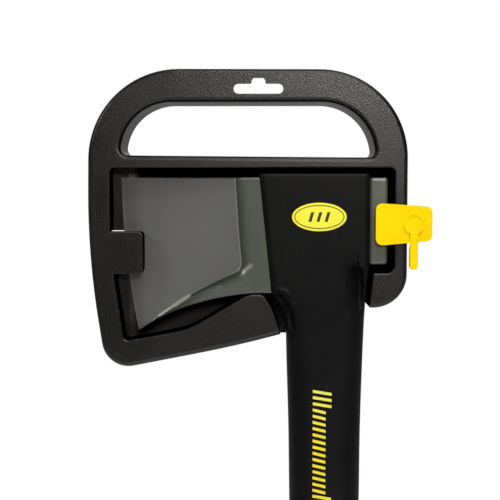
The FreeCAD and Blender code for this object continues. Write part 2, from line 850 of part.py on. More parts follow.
def make_latch_pin():
    """Pin with a ringed head, a finger lever, a square key and a round shank in the lug."""
    head_front = LATCH_FRONT + " - sizes.pin_head"
    shank_end = "-sizes.skin / 2 + sizes.lug_depth + 2 * sizes.latch_gap"
    groove_end = shank_end + " + sizes.retainer"
    tail_end = groove_end + " + sizes.pin_tail"
    centre = ("sizes.latch_x", "sizes.latch_z")
    head = bar("pin_head_disc", *centre, "sizes.pin_head_radius", head_front, LATCH_FRONT)
    recess = bar("pin_recess_disc", *centre, "sizes.pin_head_radius - sizes.pin_ring",
                 head_front + " - 1", head_front + " + sizes.pin_recess")
    dimple = bar("pin_dimple_hole", *centre, "sizes.pin_dimple", head_front,
                 head_front + " + 1.5 * sizes.pin_recess")
    half = "sizes.pin_key / 2"
    key = box("pin_key_block",
              ("sizes.latch_x - " + half, LATCH_FRONT, "sizes.latch_z - " + half),
              ("sizes.latch_x + " + half, LATCH_BACK, "sizes.latch_z + " + half))
    shank = bar("pin_shank", *centre, "sizes.pin_radius", LATCH_BACK, shank_end)
    neck = bar("pin_neck", *centre, "sizes.pin_neck_radius", shank_end, groove_end)
    tail = bar("pin_tail_disc", *centre, "sizes.pin_tail_radius", groove_end, tail_end)
    blank = fuse("pin_blank", head, key, shank, neck, tail, lever_bar())
    return finish(cut("pin", blank, recess, dimple), "latch_pin")


def lever_bar():
    """Finger lever below the pin head, as deep as the plate where it hangs clear of it."""
    over_plate_z = size.latch_z - size.pin_head_radius + size.pin_ring
    clear_z = size.latch_z - size.plate_left_below - size.lever_step
    front = LATCH_FRONT + " - sizes.lever_front"
    over_plate = prism("lever_over_plate", sketch("lever_outline", lever_outline(over_plate_z)),
                       front, LATCH_FRONT)
    below_plate = prism("lever_below_plate", sketch("lever_end", lever_outline(clear_z)),
                         front, LATCH_BACK)
    return fillet("lever", fuse("lever_blank", over_plate, below_plate), size.lever_round,
                  at_lever_front)


def lever_outline(top):
    """Round-ended bar that hangs from a height."""
    half = size.lever_width / 2
    left = size.latch_x - half
    right = size.latch_x + half
    end = size.latch_z - size.lever_reach
    return rounded(
        (left, top, 0),
        (right, top, 0),
        (right, end, ROUND_END * half),
        (left, end, ROUND_END * half),
    )


def at_lever_front(edge):
    """True for an edge round the lever's front face."""
    front = -size.skin / 2 - size.latch_gap - size.plate - size.lever_front
    return all(abs(vertex.Y - front) < 1e-4 for vertex in edge.Vertexes)


def make_retainer():
    """Push-on washer that holds the pin behind the lug."""
    start = "-sizes.skin / 2 + sizes.lug_depth + 2 * sizes.latch_gap"
    end = start + " + sizes.retainer"
    centre = ("sizes.latch_x", "sizes.latch_z")
    disc = bar("retainer_disc", *centre, "sizes.retainer_radius", start, end)
    hole = bar("retainer_hole", *centre, "sizes.pin_neck_radius + sizes.pin_key_gap",
               "-sizes.lug_depth", "4 * sizes.lug_depth")
    return finish(cut("retainer_ring", disc, hole), "latch_retainer")


# ---------------------------------------------------------------------------------------------
# Assembly
# ---------------------------------------------------------------------------------------------

def check_document():
    """Stop if any object failed to build."""
    for item in doc.Objects:
        if "Invalid" in item.State or "Error" in item.State:
            raise RuntimeError("%s failed: %s" % (item.Name, item.State))


def write_parts(parts):
    os.makedirs("parts", exist_ok=True)
    for part in parts:
        shape = part.Shape
        if shape.isNull() or not shape.isValid():
            raise RuntimeError("bad shape: " + part.Label)
    for part in parts:
        part.Shape.exportStep("parts/%s.step" % part.Label)
        print("%-16s solids %d volume %.0f" % (part.Label, len(part.Shape.Solids),
                                               part.Shape.Volume))


fill_sheet()
cover = make_cover()
head = make_head()
grip_core = make_grip_core()
handle = make_handle(head, grip_core)
sleeve = make_sleeve(grip_core)
knob = make_knob()
badges = make_badges()
plate = make_latch_plate()
pin = make_latch_pin()
retainer = make_retainer()
doc.recompute()
check_document()
write_parts([cover, head, handle, sleeve, knob, *badges, plate, pin, retainer])
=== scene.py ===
"""Looks of the axe in its blade cover: camera, studio light, materials and the detailed pieces.

Everything is in metres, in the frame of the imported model: X runs from the cutting edge to the
poll, Y from the open front of the cover to its back, and Z up the handle. MM turns the
millimetres that the sizes are written in into metres.
"""

import math

import bmesh
import bpy
import numpy as np
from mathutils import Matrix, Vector
from mathutils.bvhtree import BVHTree


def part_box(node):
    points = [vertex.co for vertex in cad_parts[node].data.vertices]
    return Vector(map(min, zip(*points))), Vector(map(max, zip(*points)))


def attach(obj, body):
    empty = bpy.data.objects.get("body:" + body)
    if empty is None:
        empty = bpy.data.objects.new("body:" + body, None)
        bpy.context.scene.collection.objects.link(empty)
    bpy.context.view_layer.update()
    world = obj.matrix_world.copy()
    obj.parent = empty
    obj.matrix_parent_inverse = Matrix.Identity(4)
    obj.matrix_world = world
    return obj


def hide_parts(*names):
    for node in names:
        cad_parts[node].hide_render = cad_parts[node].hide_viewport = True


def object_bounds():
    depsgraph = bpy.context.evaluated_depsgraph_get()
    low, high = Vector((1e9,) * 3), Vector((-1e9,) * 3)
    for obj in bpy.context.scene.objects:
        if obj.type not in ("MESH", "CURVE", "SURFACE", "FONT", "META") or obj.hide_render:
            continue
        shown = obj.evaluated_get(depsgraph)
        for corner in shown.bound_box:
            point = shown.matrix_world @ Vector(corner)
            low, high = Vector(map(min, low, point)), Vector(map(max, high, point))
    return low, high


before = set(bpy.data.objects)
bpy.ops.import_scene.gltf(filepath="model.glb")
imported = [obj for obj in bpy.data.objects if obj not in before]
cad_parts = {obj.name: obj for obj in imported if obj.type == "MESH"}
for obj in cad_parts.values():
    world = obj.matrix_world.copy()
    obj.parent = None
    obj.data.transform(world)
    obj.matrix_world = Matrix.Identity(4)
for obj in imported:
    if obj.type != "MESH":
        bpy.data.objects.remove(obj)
cad_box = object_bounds()

MM = 0.001
AXE = "axe_and_cover"


def place(*millimetres):
    return Vector(millimetres) * MM


# ---------------------------------------------------------------------------------------------
# Camera, light and floor
# ---------------------------------------------------------------------------------------------

CAMERA_PLACE = (3.64, -661.25, -70.05)
CAMERA_AIM = (-5.4, -1.25, -111.3)
FOCAL_LENGTH = 73.44
SENSOR_WIDTH = 36.0


def make_camera():
    """Camera two thirds of a metre in front of the cover, aimed just below its middle."""
    camera = bpy.data.objects.new("camera", bpy.data.cameras.new("camera"))
    bpy.context.scene.collection.objects.link(camera)
    camera.location = place(*CAMERA_PLACE)
    view = place(*CAMERA_AIM) - camera.location
    camera.rotation_euler = view.to_track_quat("-Z", "Y").to_euler()
    camera.data.lens = FOCAL_LENGTH
    camera.data.sensor_width = SENSOR_WIDTH
    camera.data.clip_start = 0.01
    bpy.context.scene.camera = camera


def area_light(name, where, aim, size, power, colour=(1.0, 1.0, 1.0)):
    """Square soft box at a place in metres, turned to face its aim."""
    lamp = bpy.data.lights.new(name, "AREA")
    lamp.shape = "RECTANGLE"
    lamp.size, lamp.size_y = size
    lamp.energy = power
    lamp.color = colour
    light = bpy.data.objects.new(name, lamp)
    bpy.context.scene.collection.objects.link(light)
    light.location = where
    light.rotation_euler = (Vector(aim) - Vector(where)).to_track_quat("-Z", "Y").to_euler()


def make_lights():
    """Soft box overhead, smaller ones in front and at upper left, and weak light round them."""
    middle = (0.0, 0.0, -0.12)
    area_light("soft_box_above", (0.30, -0.55, 1.05), middle, (1.1, 0.6), 16.0)
    area_light("soft_box_front", (0.25, -1.35, 0.34), middle, (0.44, 0.24), 8.0,
               (1.0, 0.95, 0.90))
    area_light("glint_box", (-0.81, -0.61, 0.37), middle, (0.20, 0.20), 2.6)
    area_light("light_behind", (-0.2, 0.9, 0.8), (0.0, 0.0, -0.05), (1.9, 0.8), 13.0)
    area_light("light_below", (0.12, -1.0, -0.75), (0.03, 0.0, -0.30), (0.4, 0.2), 1.7)


def make_world():
    """White studio that darkens towards the front, where the photographer's side is unlit."""
    world = bpy.data.worlds.new("studio")
    bpy.context.scene.world = world
    world.use_nodes = True
    tree = world.node_tree
    tree.nodes.clear()
    kit = Nodes(tree)
    direction = kit.add("ShaderNodeTexCoord").outputs["Generated"]
    towards = kit.add("ShaderNodeSeparateXYZ", Vector=direction).outputs["Y"]
    level = kit.add("ShaderNodeMapRange", **{"Value": towards, "From Min": -0.9, "From Max": 0.9,
                                             "To Min": 0.04, "To Max": 0.42}).outputs[0]
    studio = kit.add("ShaderNodeBackground", Strength=level).outputs[0]
    white = kit.add("ShaderNodeBackground", Color=(1, 1, 1, 1), Strength=1.0).outputs[0]
    seen = kit.add("ShaderNodeLightPath").outputs["Is Camera Ray"]
    mix = kit.add("ShaderNodeMixShader")
    tree.links.new(seen, mix.inputs[0])
    tree.links.new(studio, mix.inputs[1])
    tree.links.new(white, mix.inputs[2])
    out = kit.add("ShaderNodeOutputWorld")
    tree.links.new(mix.outputs[0], out.inputs["Surface"])


def make_floor():
    """Plain pale floor under the butt of the handle, ending below the camera's view behind."""
    level = cad_box[0][2] - 0.5 * MM
    near, far, side = -3.0, 1.45, 3.0
    bm = bmesh.new()
    corners = [(-side, near), (side, near), (side, far), (-side, far)]
    bm.faces.new([bm.verts.new((x, y, level)) for x, y in corners])
    floor = new_object("floor", bm)
    floor.data.materials.append(floor_paint())


# ---------------------------------------------------------------------------------------------
# Node and mesh helpers
# ---------------------------------------------------------------------------------------------

class Nodes:
    """Adds nodes to a tree: each keyword is an input's name with its value or its source."""

    def __init__(self, tree):
        self.tree = tree

    def add(self, kind, settings=None, **inputs):
        node = self.tree.nodes.new(kind)
        for name, value in (settings or {}).items():
            setattr(node, name, value)
        for name, value in inputs.items():
            self.feed(node.inputs[name], value)
        return node

    def feed(self, socket, value):
        if isinstance(value, bpy.types.NodeSocket):
            self.tree.links.new(value, socket)
        else:
            socket.default_value = value

    def noise(self, where, scale, detail=2.0, roughness=0.5):
        return self.add("ShaderNodeTexNoise", Vector=where, Scale=scale, Detail=detail,
                        Roughness=roughness).outputs["Fac"]

    def ramp(self, factor, low, high, start=0.0, end=1.0):
        """Blend between two colours or two numbers as the factor goes from start to end."""
        share = self.add("ShaderNodeMapRange", **{"Value": factor, "From Min": start,
                                                  "From Max": end}).outputs[0]
        if isinstance(low, tuple):
            mix = self.add("ShaderNodeMix", {"data_type": "RGBA"})
            self.feed(mix.inputs[0], share)
            mix.inputs[6].default_value = (*low, 1.0)
            mix.inputs[7].default_value = (*high, 1.0)
            return mix.outputs[2]
        return self.add("ShaderNodeMapRange", **{"Value": share, "To Min": low,
                                                 "To Max": high}).outputs[0]

    def blend(self, first, second, share):
        """Colour that goes from the first to the second as the share goes from 0 to 1."""
        mix = self.add("ShaderNodeMix", {"data_type": "RGBA"})
        self.feed(mix.inputs[0], share)
        for socket, colour in ((mix.inputs[6], first), (mix.inputs[7], second)):
            self.feed(socket, (*colour, 1.0) if isinstance(colour, tuple) else colour)
        return mix.outputs[2]

    def product(self, *factors):
        """Product of several numbers."""
        made = factors[0]
        for factor in factors[1:]:
            node = self.add("ShaderNodeMath", {"operation": "MULTIPLY"})
            self.feed(node.inputs[0], made)
            self.feed(node.inputs[1], factor)
            made = node.outputs[0]
        return made

    def difference(self, first, second):
        node = self.add("ShaderNodeMath", {"operation": "SUBTRACT"})
        self.feed(node.inputs[0], first)
        self.feed(node.inputs[1], second)
        return node.outputs[0]

    def overlaid(self, fine, amount, coarse):
        """Coarse value with an amount of the fine one added."""
        node = self.add("ShaderNodeMath", {"operation": "MULTIPLY_ADD"})
        for socket, value in zip(node.inputs, (fine, amount, coarse)):
            self.feed(socket, value)
        return node.outputs[0]

    def vector_math(self, operation, first, second, output):
        node = self.add("ShaderNodeVectorMath", {"operation": operation})
        self.feed(node.inputs[0], first)
        self.feed(node.inputs[1], second)
        return node.outputs[output]

    def vertex_value(self, name):
        return self.add("ShaderNodeAttribute", {"attribute_name": name}).outputs["Fac"]

    def bump(self, height, strength, distance, normal=None):
        node = self.add("ShaderNodeBump", Height=height, Strength=strength, Distance=distance)
        if normal is not None:
            self.feed(node.inputs["Normal"], normal)
        return node.outputs["Normal"]


def material(name):
    """New node material, with its node kit, its shader and its object coordinates."""
    made = bpy.data.materials.new(name)
    made.use_nodes = True
    shader = made.node_tree.nodes["Principled BSDF"]
    kit = Nodes(made.node_tree)
    where = kit.add("ShaderNodeTexCoord").outputs["Object"]
    return made, kit, shader, where


def new_object(name, bm, smooth=False):
    """Object from a bmesh, linked to the scene; every face smooth or flat."""
    mesh = bpy.data.meshes.new(name)
    bmesh.ops.recalc_face_normals(bm, faces=bm.faces)
    for face in bm.faces:
        face.smooth = smooth
    bm.to_mesh(mesh)
    bm.free()
    made = bpy.data.objects.new(name, mesh)
    bpy.context.scene.collection.objects.link(made)
    return made


def applied(obj):
    """Apply every modifier of an object to its mesh."""
    bpy.context.view_layer.update()
    ready = obj.evaluated_get(bpy.context.evaluated_depsgraph_get())
    mesh = bpy.data.meshes.new_from_object(ready)
    obj.modifiers.clear()
    obj.data = mesh
    return obj


def bridged(bm, loops):
    """Faces between closed loops of points, each loop joined to the next."""
    for near, far in zip(loops, loops[1:]):
        for k in range(len(near)):
            bm.faces.new((near[k], near[k - 1], far[k - 1], far[k]))


def border(columns, rows):
    """Places of a grid's outer points, in order round it."""
    last, end = columns - 1, rows - 1
    return ([(i, 0) for i in range(columns)] + [(last, j) for j in range(1, rows)]
            + [(i, end) for i in range(last - 1, -1, -1)] + [(0, j) for j in range(end - 1, 0, -1)])


def closed_sheet(bm, front, rear):
    """Faces over two grids of points, front and rear, and the rim that closes them."""
    columns, rows = len(front), len(front[0])
    for side in (front, rear):
        for i in range(columns - 1):
            for j in range(rows - 1):
                bm.faces.new((side[i][j], side[i + 1][j], side[i + 1][j + 1], side[i][j + 1]))
    rim = border(columns, rows)
    for (i, j), (k, m) in zip(rim, rim[1:] + rim[:1]):
        bm.faces.new((front[i][j], front[k][m], rear[k][m], rear[i][j]))


def dress(obj, made):
    """Give a new piece its material, and let the axe's body carry it."""
    obj.data.materials.clear()
    obj.data.materials.append(made)
    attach(obj, AXE)
    return obj


# ---------------------------------------------------------------------------------------------
# Materials
# ---------------------------------------------------------------------------------------------

def floor_paint():
    """Pale matt paint with faint clouds."""
    made, kit, shader, where = material("floor_paint")
    cloud = kit.noise(where, 3.0, 3.0)
    kit.feed(shader.inputs["Base Color"], kit.ramp(cloud, (0.74, 0.74, 0.73), (0.80, 0.80, 0.79)))
    kit.feed(shader.inputs["Roughness"], 0.7)
    return made


# The cover's painted shade, in metres: darker colour and less gloss on the tray's floor and walls,
# a painted dark line round the hand opening's edge and a painted contact shadow below the beard.
# Each pair is where a shade starts and ends. A facing is the surface normal's Y, from -1 towards
# the front to 1 towards the back.
SHADE_BLACK = (0.0004, 0.0004, 0.0004)
TRAY_MIDDLE = (0.0, 0.0, -0.110)
TRAY_START = (-0.057, -0.055)                           # heights that the tray begins between
FLOOR_DEPTH = (0.017, 0.026)                            # depths that its floor darkens between
FLOOR_FACING = (-0.8, -0.4)
FLOOR_SHADE = 0.40
WALL_INWARD = (0.0, 0.004)                              # how far a wall faces the middle
WALL_FACING = (-0.75, -0.45)
WALL_DEPTH = (-0.0006, 0.0008)
WALL_SHADE = 1.0
EDGE_FRONT = (-0.96, -0.85)                             # facings of the opening's round edge
EDGE_SIDE = (-0.30, -0.10)
EDGE_BASE = (-0.057, -0.050)                            # heights that the opening ends between
EDGE_SHADE = 0.75
CONTACT_LEFT = (-0.0835, -0.0790)
CONTACT_DEPTH = (0.006, 0.010)
CONTACT_SHADE = 0.97
BEARD_SPAN = ((-0.0797, -0.1658), (0.0080, -0.1396))    # ends of the beard's lower edge
BEARD_ARCH = 0.0065                                     # its rise over the line between them
CONTACT_REACH = (-0.0085, -0.0030)                      # distances below it that fade out


def tray_shade(kit, where):
    """Painted shade: 1 on the show faces, less on the tray's floor and walls, round the hand
    opening and below the beard.
    """
    place_of = kit.add("ShaderNodeSeparateXYZ", Vector=where).outputs
    normal = kit.add("ShaderNodeNewGeometry").outputs["Normal"]
    facing = kit.add("ShaderNodeSeparateXYZ", Vector=normal).outputs["Y"]
    level = kit.ramp(facing, 1.0, 0.0, *FLOOR_FACING)
    floor = kit.product(kit.ramp(place_of["Y"], 0.0, FLOOR_SHADE, *FLOOR_DEPTH), level)
    to_middle = kit.vector_math("SUBTRACT", TRAY_MIDDLE, where, "Vector")
    inward = kit.vector_math("DOT_PRODUCT", to_middle, normal, "Value")
    wall = kit.product(kit.ramp(inward, 0.0, WALL_SHADE, *WALL_INWARD),
                       kit.ramp(facing, 0.0, 1.0, *WALL_FACING),
                       kit.ramp(place_of["Y"], 0.0, 1.0, *WALL_DEPTH),
                       kit.ramp(place_of["Z"], 1.0, 0.0, *TRAY_START))
    edge = kit.product(kit.ramp(facing, 0.0, EDGE_SHADE, *EDGE_FRONT),
                       kit.ramp(facing, 1.0, 0.0, *EDGE_SIDE),
                       kit.ramp(place_of["Z"], 0.0, 1.0, *EDGE_BASE))
    share = kit.ramp(place_of["X"], 0.0, 1.0, BEARD_SPAN[0][0], BEARD_SPAN[1][0])
    chord = kit.ramp(share, BEARD_SPAN[0][1], BEARD_SPAN[1][1])
    arch = kit.product(share, kit.ramp(share, 4.0 * BEARD_ARCH, 0.0))
    below = kit.difference(kit.difference(place_of["Z"], chord), arch)
    contact = kit.product(kit.ramp(below, 0.0, CONTACT_SHADE, *CONTACT_REACH),
                          kit.ramp(place_of["X"], 0.0, 1.0, *CONTACT_LEFT),
                          kit.ramp(place_of["Y"], 0.0, 1.0, *CONTACT_DEPTH), level)
    shades = [kit.ramp(part, 1.0, 0.0) for part in (floor, wall, edge, contact)]
    return kit.product(*shades)


def moulded_plastic(name, dark, light, rough, gloss, grain, depth, shaded=False):
    """Black moulded plastic with a spark-eroded texture and slow changes of tone and gloss; when
    shaded, with the tray's painted shade.
    """
    made, kit, shader, where = material(name)
    cloud = kit.noise(where, 14.0, 4.0, 0.55)
    fine = kit.noise(where, 420.0, 3.0, 0.6)
    tone = kit.overlaid(fine, 0.35, cloud)
    base = kit.ramp(tone, dark, light, 0.45, 0.95)
    level = gloss
    # Painted shade: the tray's shade darkens the colour and lowers the gloss.
    if shaded:
        shade = tray_shade(kit, where)
        base = kit.blend(SHADE_BLACK, base, shade)
        level = kit.ramp(shade, 0.0, gloss)
    kit.feed(shader.inputs["Base Color"], base)
    kit.feed(shader.inputs["Roughness"], kit.ramp(tone, rough - 0.05, rough + 0.07, 0.4, 0.9))
    pits = kit.add("ShaderNodeTexVoronoi", {"feature": "SMOOTH_F1"}, Vector=where, Scale=grain,
                   Smoothness=0.6).outputs["Distance"]
    swell = kit.noise(where, 45.0, 2.0)
    normal = kit.bump(swell, 0.25, 0.0003)
    kit.feed(shader.inputs["Normal"], kit.bump(pits, 0.55, depth, normal))
    kit.feed(shader.inputs["Specular IOR Level"], level)
    return made


def forged_paint():
    """Satin grey coating on forged steel: pale ground facet, painted shade in the dull crease,
    painted highlight lines.
    """
    made, kit, shader, where = material("forged_paint")
    cloud = kit.noise(where, 9.0, 3.0)
    grit = kit.noise(where, 900.0, 2.0, 0.7)
    tone = kit.overlaid(grit, 0.25, cloud)
    crease = kit.vertex_value("crease")
    cheek = kit.ramp(tone, (0.078, 0.086, 0.070), (0.096, 0.104, 0.088), 0.35, 0.85)
    facet = kit.ramp(tone, (0.100, 0.102, 0.097), (0.120, 0.121, 0.117), 0.35, 0.85)
    ground = kit.blend(cheek, facet, kit.vertex_value("facet"))
    # Painted shade: the crease beside the facet is darkened, and below its gloss and coat are
    # lowered.
    shaded = kit.blend(ground, (0.024, 0.028, 0.023), crease)
    # Painted highlights: the rim values brighten lines and streaks to a pale steel colour.
    painted_glints = kit.blend(shaded, (0.27, 0.27, 0.24), kit.vertex_value("rim"))
    kit.feed(shader.inputs["Base Color"], painted_glints)
    kit.feed(shader.inputs["Roughness"], kit.ramp(tone, 0.27, 0.36, 0.35, 0.85))
    kit.feed(shader.inputs["Metallic"], 0.15)
    peel = kit.noise(where, 320.0, 2.0, 0.4)
    normal = kit.bump(peel, 0.20, 0.0002)
    kit.feed(shader.inputs["Normal"], kit.bump(grit, 0.10, 0.0001, normal))
    kit.feed(shader.inputs["Specular IOR Level"], kit.ramp(crease, 0.5, 0.05, 0.0, 0.7))
    kit.feed(shader.inputs["Coat Weight"], kit.ramp(crease, 0.6, 0.0, 0.0, 0.7))
    kit.feed(shader.inputs["Coat Roughness"], 0.12)
    return made


def latch_plastic():
    """Bright yellow moulded plastic, a little translucent, with faint flow marks."""
    made, kit, shader, where = material("latch_yellow")
    cloud = kit.noise(where, 60.0, 3.0)
    kit.feed(shader.inputs["Base Color"], kit.ramp(cloud, (0.90, 0.62, 0.001),
                                                   (0.98, 0.685, 0.002), 0.3, 0.7))
    kit.feed(shader.inputs["Roughness"], kit.ramp(cloud, 0.34, 0.46, 0.3, 0.7))
    kit.feed(shader.inputs["Specular IOR Level"], 0.04)
    kit.feed(shader.inputs["Subsurface Weight"], 0.12)
    kit.feed(shader.inputs["Subsurface Radius"], (0.004, 0.003, 0.0004))
    kit.feed(shader.inputs["Subsurface Scale"], 0.5)
    ripple = kit.noise(where, 240.0, 2.0)
    kit.feed(shader.inputs["Normal"], kit.bump(ripple, 0.12, 0.0002))
    return made


def printed_ink(name, top, base, start, end):
    """Ink whose colour changes down the handle between two heights, with a rubbed, grainy face."""
    made, kit, shader, where = material(name)
    height = kit.add("ShaderNodeSeparateXYZ", Vector=where).outputs["Z"]
    grain = kit.noise(where, 1500.0, 2.0, 0.7)
    mixed = kit.overlaid(grain, 0.006, height)
    kit.feed(shader.inputs["Base Color"], kit.ramp(mixed, base, top, end, start))
    kit.feed(shader.inputs["Roughness"], kit.ramp(grain, 0.38, 0.55, 0.3, 0.7))
    kit.feed(shader.inputs["Normal"], kit.bump(grain, 0.15, 0.00005))
    return made


def soft_rubber():
    """Dark grey elastomer with a dusty, matt skin."""
    made, kit, shader, where = material("grip_rubber")
    cloud = kit.noise(where, 30.0, 4.0, 0.6)
    kit.feed(shader.inputs["Base Color"], kit.ramp(cloud, (0.012, 0.012, 0.013),
                                                   (0.024, 0.024, 0.025), 0.3, 0.75))
    kit.feed(shader.inputs["Roughness"], kit.ramp(cloud, 0.62, 0.78, 0.3, 0.7))
    kit.feed(shader.inputs["Sheen Weight"], 0.15)
    grain = kit.noise(where, 2200.0, 2.0, 0.6)
    kit.feed(shader.inputs["Normal"], kit.bump(grain, 0.4, 0.0001))
    return made


def zinc_plate():
    """Zinc-plated spring steel, brushed in rings round the latch pin."""
    made, kit, shader, where = material("zinc_plate")
    low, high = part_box("latch_retainer")
    from_pin = kit.vector_math("SUBTRACT", where, (low + high) / 2, "Vector")
    parts = kit.add("ShaderNodeSeparateXYZ", Vector=from_pin).outputs
    flat = kit.add("ShaderNodeCombineXYZ", X=parts["X"], Z=parts["Z"]).outputs[0]
    radius = kit.vector_math("LENGTH", flat, (0.0, 0.0, 0.0), "Value")
    rings = kit.add("ShaderNodeTexNoise", {"noise_dimensions": "1D"}, W=radius,
                    Scale=6000.0, Detail=3.0).outputs["Fac"]
    kit.feed(shader.inputs["Base Color"], kit.ramp(rings, (0.50, 0.50, 0.50),
                                                   (0.70, 0.69, 0.66), 0.3, 0.7))
    kit.feed(shader.inputs["Metallic"], 1.0)
    kit.feed(shader.inputs["Roughness"], kit.ramp(rings, 0.25, 0.42, 0.3, 0.7))
    kit.feed(shader.inputs["Normal"], kit.bump(rings, 0.15, 0.00005))
    return made


# ---------------------------------------------------------------------------------------------
# Head
# ---------------------------------------------------------------------------------------------

AXE_Y = 13.75                   # the axe's mid-plane
BLADE_TOP = -64.4
EDGE_TOP = (-90.6, BLADE_TOP)
EDGE_MIDDLE = (-87.6, -115.0)
EDGE_TIP = (-79.7, -165.8)
BEARD_MIDDLE = (-38.7, -146.5)
BEARD_END = (8.5, -139.6)       # just inside the handle's collar
CHEEK_TOP = (1.0, BLADE_TOP)
FACET_LINE = [(-15.2, BLADE_TOP), (-13.0, -100.0), (-10.8, -124.3), (-48.0, -140.9), EDGE_TIP]
FACET_SOFTNESS = [14.0, 5.0, 30.0]
FACET_SLOPE = 0.10
EDGE_HALF = 0.15
BLADE_ROUND = 1.5               # rounding of the blade's top and base
NECK_LOW = (-3.0, AXE_Y - 6.0, -114.8)
NECK_HIGH = (76.0, AXE_Y + 6.0, -70.2)
NECK_ROUND = 0.5
POLL_LOW = (72.1, AXE_Y - 13.0, -121.0)
POLL_HIGH = (83.8, AXE_Y + 13.0, BLADE_TOP)
POLL_ROUND = 2.0
STEP_FOOT = 1.0                 # width of the hollow at the foot of the cheek
CHEEK_RISE = 6.0
CHEEK_WIDTH = 15.0
CREASE_WIDTH = 8.5              # band beside the facet that painted shade darkens
UPRIGHT = (-132.0, -120.0)      # heights that the facet's upright side starts between
UPRIGHT_FADE = 0.5              # how much less painted shade the crease gets beside it
# Painted highlight streaks past the facet's corner and along its lower side: line and width.
GLINT_STREAKS = [
    ([(-9.4, -125.6), (-4.8, -121.4)], 1.1),
    ([(-56.0, -148.7), (-46.0, -142.3)], 1.0),
    ([(-66.0, -155.6), (-57.0, -149.6)], 0.7),
]
RIM_WIDTH = 0.30                # painted highlight line along the facet's edge


def arc_point(first, middle, last, share):
    """Point on the circle through three points, at a share of the way from first to last."""
    a, b, c = (complex(*point) for point in (first, middle, last))
    w = (c - a) / (b - a)
    centre = a + (b - a) * (abs(w) ** 2 - w) / (w.conjugate() - w)
    turned = (c - centre) / (a - centre)
    angle = math.atan2(turned.imag, turned.real) * share
    there = centre + (a - centre) * complex(math.cos(angle), math.sin(angle))
    return np.array([there.real, there.imag])


def smooth_step(value, start, end):
    share = np.clip((value - start) / (end - start), 0.0, 1.0)
    return share * share * (3.0 - 2.0 * share)


def softened(points, reaches, steps=16):
    """Line through the points, each inner corner rounded by a curve that starts a reach away."""
    corners = [np.array(point, float) for point in points]
    line = [corners[0]]
    for before, corner, after, reach in zip(corners, corners[1:], corners[2:], reaches):
        back = (before - corner) / np.linalg.norm(before - corner)
        ahead = (after - corner) / np.linalg.norm(after - corner)
        enter, leave = corner + back * reach, corner + ahead * reach
        for share in np.linspace(0.0, 1.0, steps):
            line.append((1 - share) ** 2 * enter + 2 * share * (1 - share) * corner
                        + share ** 2 * leave)
    line.append(corners[-1])
    return np.array(line)


def line_distance(points, line):
    """Distance of each point from a line of segments, above zero on the line's right side."""
    best = np.full(len(points), np.inf)
    side = np.ones(len(points))
    for start, end in zip(line[:-1], line[1:]):
        along = end - start
        share = np.clip(((points - start) @ along) / (along @ along), 0.0, 1.0)
        off = points - (start + share[:, None] * along)
        far = np.hypot(off[:, 0], off[:, 1])
        closer = far < best
        best = np.where(closer, far, best)
        across = along[1] * (points[:, 0] - start[0]) - along[0] * (points[:, 1] - start[1])
        side = np.where(closer, np.sign(across), side)
    return best * side


def blade_half(points, facet_line):
    """Half thickness of the blade at places seen from the side."""
    top, tip = np.array(EDGE_TOP), np.array(EDGE_TIP)
    edge = (tip - top) / np.linalg.norm(tip - top)
    from_edge = (points - top) @ np.array([-edge[1], edge[0]])
    facet = EDGE_HALF + FACET_SLOPE * np.maximum(from_edge, 0.0)
    past = np.maximum(-line_distance(points, facet_line), 0.0)
    swell = np.sqrt(1.0 - (1.0 - np.minimum(past / CHEEK_WIDTH, 1.0)) ** 2)
    rise = CHEEK_RISE * swell * smooth_step(past, 0.0, STEP_FOOT)
    return facet + rise * np.minimum(facet / CHEEK_RISE, 1.0)


def crowded(ends, count):
    """Shares from 0 to 1, even in the middle and crowded into a distance at both ends."""
    near = [0.0, 0.06, 0.16, 0.3, 0.5, 0.75]
    first = [ends[0] * share for share in near]
    last = [1.0 - ends[1] * share for share in reversed(near)]
    return np.array(first + list(np.linspace(ends[0], 1.0 - ends[1], count)) + last)


def blade_grid(columns, rows):
    """Grid of places from the cutting edge to the collar and from the blade's top to its base."""
    across = crowded((0.012, 0.012), columns)
    down = crowded((0.016, 0.016), rows)
    edge = np.array([arc_point(EDGE_TOP, EDGE_MIDDLE, EDGE_TIP, v) for v in down])
    base = np.array([arc_point(EDGE_TIP, BEARD_MIDDLE, BEARD_END, u) for u in across])
    top_ends, collar_ends = np.array([EDGE_TOP, CHEEK_TOP]), np.array([CHEEK_TOP, BEARD_END])
    u, v = across[:, None, None], down[None, :, None]
    top = top_ends[0] + (top_ends[1] - top_ends[0]) * u
    collar = collar_ends[0] + (collar_ends[1] - collar_ends[0]) * v
    corners = ((1 - u) * (1 - v) * top_ends[0] + u * (1 - v) * top_ends[1]
               + (1 - u) * v * np.array(EDGE_TIP) + u * v * np.array(BEARD_END))
    return ((1 - v) * top + v * base[:, None, :] + (1 - u) * edge[None, :, :] + u * collar
            - corners)


def make_blade():
    """Blade with a flat ground facet, a groove round it and the cheek and beard that rise past."""
    grid = blade_grid(190, 190)
    columns, rows = grid.shape[:2]
    flat = grid.reshape(-1, 2)
    facet_line = softened(FACET_LINE, FACET_SOFTNESS)
    half = blade_half(flat, facet_line).reshape(columns, rows)
    base_line = np.array([arc_point(EDGE_TIP, BEARD_MIDDLE, BEARD_END, share)
                          for share in np.linspace(0.0, 1.0, 80)])
    from_base = np.abs(line_distance(flat, base_line)).reshape(columns, rows)
    from_top = BLADE_TOP - grid[:, :, 1]
    for gap in (from_top, from_base):
        radius = np.minimum(BLADE_ROUND, 0.3 * half)
        inside = np.clip(radius - gap, 0.0, None)
        half = half - (radius - np.sqrt(np.maximum(radius ** 2 - inside ** 2, 0.0)))
    bm = bmesh.new()
    sides = []
    for sign in (-1, 1):
        sides.append([[bm.verts.new(place(grid[i, j, 0], AXE_Y + sign * half[i, j],
                                          grid[i, j, 1])) for j in range(rows)]
                      for i in range(columns)])
    closed_sheet(bm, *sides)
    return new_object("axe_blade", bm, smooth=True)


